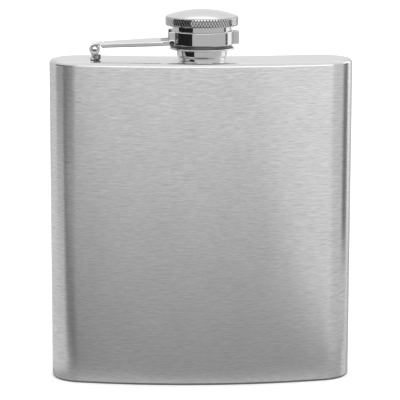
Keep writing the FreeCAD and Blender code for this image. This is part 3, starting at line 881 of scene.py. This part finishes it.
for s in (-1, 1):
    y0, y1 = sorted((s * 4.9, s * 6.4))
    cutter = plain("cut", *tube_y(0.56, y0, y1, REACH, LIFT, 32))
    combine(arm, cutter, "DIFFERENCE")
bevel = arm.modifiers.new("b", "BEVEL")
bevel.width, bevel.segments, bevel.limit_method = 0.10 * MM, 2, "ANGLE"
bevel.angle_limit = math.radians(55)
settle(arm)
arm.data.transform(Matrix.Translation(Vector((px, AY, pz)) * MM) @ Matrix.Rotation(-RISE, 4, "Y"))
finish_piece(arm, [M_SMALL], "arm", ["lanyard_arm"])

# ---------------------------------------------------------------------------
# Collar band: one strip, pinched into a fin at +X, with an ear at each end
# ---------------------------------------------------------------------------
MID_R, THICK = 9.575, 0.55
EAR_Y, EAR_TIP, FIN_Y, FIN_TIP = 4.875, 10.3, 0.31, 11.65
a0 = math.asin(EAR_Y / MID_R)
f0 = math.asin((FIN_Y + 0.18) / MID_R)
half = [(-EAR_TIP, -EAR_Y), (-9.2, -EAR_Y), (-MID_R * math.cos(a0) - 0.05, -EAR_Y)]
for k in range(161):
    a = math.pi + a0 + (TAU - f0 - math.pi - a0) * k / 160
    half.append((MID_R * math.cos(a), MID_R * math.sin(a)))
half += [(MID_R + 0.28, -FIN_Y)]
tip = FIN_TIP - 0.275 - FIN_Y
half += [(10.6, -FIN_Y), (tip, -FIN_Y)]
for k in range(1, 8):
    a = -math.pi / 2 + math.pi / 2 * k / 8
    half.append((tip + FIN_Y * math.cos(a), FIN_Y * math.sin(a)))
path = half + [(x, -y) for x, y in reversed(half)]
path = smooth_path(path, 0.12, 0.16)
verts, faces, uv = strip(path, band_lo.z - H, band_hi.z - H, THICK, 0.25)
make("collar_band_strip", verts, faces, [M_POL], "collar", ["collar_band"],
     uv=uv, origin=(0, AY, H), angle=40)

rx, rz = RIVET
for label, sign in (("collar_rivet_front", -1), ("collar_rivet_back", 1)):
    inner_y, outer_y = 4.45, 5.9
    prof = [(0.0, outer_y - 0.45), (0.28, outer_y - 0.45), (0.50, outer_y - 0.40), (0.56, outer_y - 0.3)]
    for k in range(8):                                     # the rolled lip of the hollow end
        a = math.pi * (1 - k / 7)
        prof.append((0.69 + 0.11 * math.cos(a), outer_y + 0.18 + 0.11 * math.sin(a)))
    prof += [(0.8, outer_y), (0.6, outer_y), (0.5, 5.2), (0.5, 4.6), (0.7, 4.6), (0.66, 4.48), (0.55, inner_y), (0.0, inner_y)]
    verts, faces, uv = lathe(prof, 32)
    verts = [(x, sign * z, y) for x, y, z in verts]
    make(label + "_hollow", verts, faces, [M_BLACK], "collar", [label],
         uv=uv, origin=(rx, AY, rz), angle=40)

# ---------------------------------------------------------------------------
# Cap: sleeve, threaded liner, seal, knurled knob
# ---------------------------------------------------------------------------
FL_R, FL_LOW, FL_HIGH = 10.1, 3.5, 4.05
sleeve = rounded([(8.9, FL_LOW), (FL_R, FL_LOW, 0.22), (FL_R, FL_HIGH, 0.26),
                  (9.22, FL_HIGH, 0.1), (9.22, 10.9), (8.9, 10.9)], 6)
sleeve = [q for q in sleeve]
at = max(k for k, q in enumerate(sleeve) if abs(q[0] - 9.22) < 1e-6 and q[1] < 5)
sleeve.insert(at + 1, (9.22, 5.05))                        # the foot of the wall, under the band
verts, faces, uv = lathe(sleeve, 192)
# Faces in the gap between the flange and the band get the near-black steel: painted shade in the groove.
index = []
for f in faces:
    zc = sum(verts[i][2] for i in f) / 4
    rc = sum(math.hypot(verts[i][0], verts[i][1]) for i in f) / 4
    index.append(1 if FL_HIGH - 0.03 < zc < 5.04 and 9.0 < rc < 9.75 else 0)
make("cap_sleeve_turned", verts, faces, [M_POL, M_GAP_PAINTED_SHADE], "cap", ["cap_sleeve"],
     index=index, uv=uv, origin=(0, AY, H), angle=38)

L_ROOT, L_CREST = 8.5, 8.25
liner = [(8.9, 3.75), (8.9, 8.2)]
zone = [8.2 - 0.08 * k for k in range(int((8.2 - 3.75) / 0.08) + 1)]
liner += [(L_ROOT, z) for z in zone] + [(L_ROOT, 3.75)]
verts, faces, uv = lathe(liner, 144, lambda t, r, z: (
    L_ROOT - (L_ROOT - L_CREST) * thread_lift(t, z, 0.75) if abs(r - L_ROOT) < 1e-6 and 3.8 < z < 8.15 else r))
make("cap_liner_threaded", verts, faces, [M_INNER], "cap", ["cap_liner"],
     uv=uv, origin=(0, AY, H), angle=38)

seal = [(0.0, 8.3), (6.2, 8.3), (6.5, 8.38), (7.9, 8.38), (8.2, 8.3)] + \
    rounded([(8.2, 8.3), (8.85, 8.3, 0.2), (8.85, 9.3, 0.1), (8.2, 9.3)], 4)[1:-1] + [(4.0, 9.3), (0.0, 9.3)]
verts, faces, uv = lathe(seal, 96)
make("cap_seal_disc", verts, faces, [M_SEAL], "cap", ["cap_seal"],
     uv=uv, origin=(0, AY, H), angle=40)

SEGS = DIAMONDS * 8
cell_h = (math.pi * KNOB_R / DIAMONDS) / math.tan(math.radians(30))   # half a diamond's height


def knurl_h(theta, z):
    a = theta / TAU * DIAMONDS * 2
    b = (z - (K_LOW + K_HIGH) / 2) / cell_h
    u, v = a + b, a - b
    u = abs((u + 1) % 2 - 1)
    v = abs((v + 1) % 2 - 1)
    return min(1.0, (1 - max(u, v)) * 4.0), u > v


EDGE = 0.25
rim_z = [K_LOW + 0.07]
sub = cell_h / 4
mid = (K_LOW + K_HIGH) / 2
k0 = -int((mid - rim_z[0]) / sub)
rim_z += [mid + sub * k for k in range(k0, -k0 + 1)] + [K_HIGH - 0.07]
rim_z = sorted(set(round(z, 5) for z in rim_z))


def cone(z):
    return min(KNOB_R, KNOB_R - EDGE + (z - K_LOW), KNOB_R - EDGE + (K_HIGH - z))


rise, edge_r = K_TOP - K_HIGH, KNOB_R - EDGE
dome_r = (edge_r ** 2 + rise ** 2) / (2 * rise)
dome_half = math.asin(edge_r / dome_r)
rows = [(8.9, 9.3), (8.9, K_LOW), (9.8, K_LOW), (KNOB_R - EDGE, K_LOW)]
kinds = [0, 0, 0, 0]
for z in rim_z:
    rows.append((None, z))
    kinds.append(1)
rows.append((KNOB_R - EDGE, K_HIGH))
kinds.append(0)
for k in range(1, 22):
    a = dome_half * (1 - k / 22)
    rows.append((dome_r * math.sin(a), K_TOP - dome_r * (1 - math.cos(a))))
    kinds.append(0)
verts, faces, index, uv = [], [], [], []
for j, (r, z) in enumerate(rows):
    for i in range(SEGS):
        t = TAU * i / SEGS
        rr = r
        if kinds[j]:
            h, _ = knurl_h(t, z)
            rr = min(cone(z), KNOB_R - CUT + CUT * h)
        verts.append((rr * math.cos(t), rr * math.sin(t), z))
        uv.append((t * 10, z, TAU * 10))
for j in range(len(rows) - 1):
    for i in range(SEGS):
        m = (i + 1) % SEGS
        a, b, c, d = j * SEGS + i, j * SEGS + m, (j + 1) * SEGS + m, (j + 1) * SEGS + i
        if kinds[j] and kinds[j + 1]:
            _, along_u = knurl_h(TAU * (i + 0.5) / SEGS, (rows[j][1] + rows[j + 1][1]) / 2)
            faces += [(a, b, d), (b, c, d)] if along_u else [(a, b, c), (a, c, d)]
            index += [1, 1]
        else:
            faces.append((a, b, c, d))
            index.append(1 if kinds[j] or kinds[j + 1] else 0)
n = len(rows)
verts.append((0, 0, K_TOP))
uv.append((0, 0, 0))
apex = len(verts) - 1
verts.append((0, 0, 9.3))
uv.append((0, 0, 0))
floor_c = len(verts) - 1
for i in range(SEGS):
    m = (i + 1) % SEGS
    faces.append(((n - 1) * SEGS + i, (n - 1) * SEGS + m, apex))
    index.append(0)
    faces.append((m, i, floor_c))
    index.append(0)
make("cap_knob_knurled", verts, faces, [M_POL, M_KNURL], "cap", ["cap_knob"],
     index=index, uv=uv, origin=(0, AY, H), angle=22, weighted=False)

# ---------------------------------------------------------------------------
# Floor and light
# ---------------------------------------------------------------------------
floor_mesh = bpy.data.meshes.new("floor")
fv, ff = [], []
radii = [0.02, 0.2, 0.5, 1.0, 2.0, 4.0, 8.0]
for r in radii:
    for i in range(96):
        fv.append((r * math.cos(TAU * i / 96), r * math.sin(TAU * i / 96), 0.0))
ff.append(tuple(range(96)))
for j in range(len(radii) - 1):
    for i in range(96):
        m = (i + 1) % 96
        ff.append((j * 96 + i, j * 96 + m, (j + 1) * 96 + m, (j + 1) * 96 + i))
floor_mesh.from_pydata(fv, [], ff)
floor = bpy.data.objects.new("floor", floor_mesh)
scene.collection.objects.link(floor)
n = Nodes("pale_floor")
soft = n.noise(n.mapping(n.add("ShaderNodeTexCoord").outputs["Object"], scale=(3, 3, 3)), 1.0, 2.0, 0.5)
n.link(n.grey(n.span(soft, 0.3, 0.7, 0.90, 0.915)), n.bsdf.inputs["Base Color"])
n.bsdf.inputs["Roughness"].default_value = 0.9
n.bsdf.inputs["Specular IOR Level"].default_value = 0.1
n.bsdf.inputs["Emission Color"].default_value = (1, 1, 1, 1)
n.bsdf.inputs["Emission Strength"].default_value = 0.22
floor_mesh.materials.append(n.mat)
floor.visible_glossy = False

world = bpy.data.worlds.new("studio")
scene.world = world
world.use_nodes = True
wt = world.node_tree
bg = wt.nodes["Background"]
coord = wt.nodes.new("ShaderNodeTexCoord")
sep = wt.nodes.new("ShaderNodeSeparateXYZ")
wt.links.new(coord.outputs["Generated"], sep.inputs[0])
span = wt.nodes.new("ShaderNodeMapRange")
span.inputs["From Min"].default_value = -1.0
span.inputs["From Max"].default_value = 1.0
wt.links.new(sep.outputs["Z"], span.inputs["Value"])
ramp = wt.nodes.new("ShaderNodeValToRGB")
LEVELS = [(-90, 0.16), (-35, 0.20), (-18, 0.32), (-10, 0.50), (-4, 0.70), (4, 0.84), (15, 0.90),
          (28, 0.93), (38, 1.06), (50, 1.12), (65, 1.12), (80, 1.08), (90, 1.00)]
els = ramp.color_ramp.elements
while len(els) > 1:
    els.remove(els[0])
for k, (deg, level) in enumerate(LEVELS):
    pos = (math.sin(math.radians(deg)) + 1) / 2
    e = els[0] if k == 0 else els.new(pos)
    e.position = pos
    v = level / 1.5
    e.color = (v, v, v, 1)
wt.links.new(span.outputs["Result"], ramp.inputs["Fac"])
gain = wt.nodes.new("ShaderNodeMath")
gain.operation = "MULTIPLY"
gain.inputs[1].default_value = 1.5
wt.links.new(ramp.outputs["Color"], gain.inputs[0])
wt.links.new(gain.outputs[0], bg.inputs["Strength"])
bg.inputs["Color"].default_value = (1, 1, 1, 1)


def softbox(name, azimuth, elevation, distance, wide, tall, radiance, target=(0, 0, 0.06)):
    """An area light round the object.  Azimuth 0 is in front (-Y) and 90 is at +X."""
    a, e = math.radians(azimuth), math.radians(elevation)
    t = Vector(target)
    p = t + Vector((math.sin(a) * math.cos(e), -math.cos(a) * math.cos(e), math.sin(e))) * distance
    data = bpy.data.lights.new(name, "AREA")
    data.shape = "RECTANGLE"
    data.size, data.size_y = wide, tall
    data.energy = radiance * math.pi * wide * tall
    obj = bpy.data.objects.new(name, data)
    scene.collection.objects.link(obj)
    obj.location = p
    obj.rotation_mode = "QUATERNION"
    obj.rotation_quaternion = (t - p).to_track_quat("-Z", "Y")
    obj.visible_camera = False
    return obj


softbox("front_light", 10, 15, 1.6, 2.4, 0.55, 1.25)
softbox("right_light", 115, 10, 1.3, 0.9, 1.2, 0.6)
softbox("back_top_light", 180, 50, 1.6, 1.8, 0.5, 0.35)

def card(name, corners, level, cuts=8):
    """A plain card round the object, out of the picture, that is seen only in the metal."""
    (a, b, c, d) = [Vector(q) for q in corners]
    fv, ff = [], []
    for k in range(cuts + 1):
        t = k / cuts
        fv += [tuple(a.lerp(b, t)), tuple(d.lerp(c, t))]
    for k in range(cuts):
        ff.append((2 * k, 2 * k + 2, 2 * k + 3, 2 * k + 1))
    mesh = bpy.data.meshes.new(name)
    mesh.from_pydata(fv, [], ff)
    obj = bpy.data.objects.new(name, mesh)
    scene.collection.objects.link(obj)
    m = Nodes(name + "_cloth")
    weave = m.noise(m.mapping(m.add("ShaderNodeTexCoord").outputs["Object"], scale=(90, 90, 90)), 1.0, 2.0, 0.5)
    m.link(m.grey(m.span(weave, 0.3, 0.7, 0.010, 0.020)), m.bsdf.inputs["Base Color"])
    m.bsdf.inputs["Roughness"].default_value = 1.0
    m.bsdf.inputs["Specular IOR Level"].default_value = 0.0
    m.bsdf.inputs["Emission Color"].default_value = (1, 1, 1, 1)
    m.bsdf.inputs["Emission Strength"].default_value = level
    mesh.materials.append(m.mat)
    obj.visible_camera = False
    obj.visible_shadow = False
    obj.visible_diffuse = False
    return obj


# At the front left, the dark streak down the cap and the top of the body's left end.
card("dark_flag", [(-0.297, -0.402, 0.035), (-0.487, 0.112, 0.035), (-0.487, 0.112, 0.150), (-0.297, -0.402, 0.150)], 0.0)
# Lower down, the softer streak that leans towards the middle of the body.
card("grey_flag", [(-0.098, -0.127, 0.0), (-0.150, -0.070, 0.03), (-0.150, -0.060, 0.066), (-0.116, -0.105, 0.066)], 0.42)
# On the table in front, which darkens the body towards its base.
card("dark_table", [(-0.05, -0.36, 0.0005), (0.125, -0.36, 0.0005), (0.06, -0.020, 0.0005), (-0.05, -0.020, 0.0005)], 0.08)
card("dark_table_left", [(-0.60, -0.36, 0.0005), (-0.05, -0.36, 0.0005), (-0.05, -0.024, 0.0005), (-0.60, -0.165, 0.0005)], 0.07)
# The bright table at the right and behind.
card("bright_table_right", [(0.125, -0.36, 0.0006), (0.60, -0.36, 0.0006), (0.60, 0.40, 0.0006), (0.06, -0.020, 0.0006)], 0.56)
card("bright_table_left", [(-0.60, -0.150, 0.0006), (-0.052, -0.014, 0.0006), (-0.052, 0.35, 0.0006), (-0.60, 0.35, 0.0006)], 0.66)
# At the right, the thin dark line down the right of the cap.
card("dark_strip", [(0.30 * math.sin(math.radians(a)), -0.30 * math.cos(math.radians(a)), z)
                    for a, z in ((93.5, 0.068), (98.0, 0.068), (98.0, 0.100), (93.5, 0.100))], 0.05)
# The dark line down the right end of the body.
card("grey_strip", [(0.0835, -0.0042, 0.036), (0.0800, 0.0130, 0.036), (0.0800, 0.0130, 0.108), (0.0835, -0.0042, 0.108)], 0.15)

scene.view_settings.view_transform = "Standard"
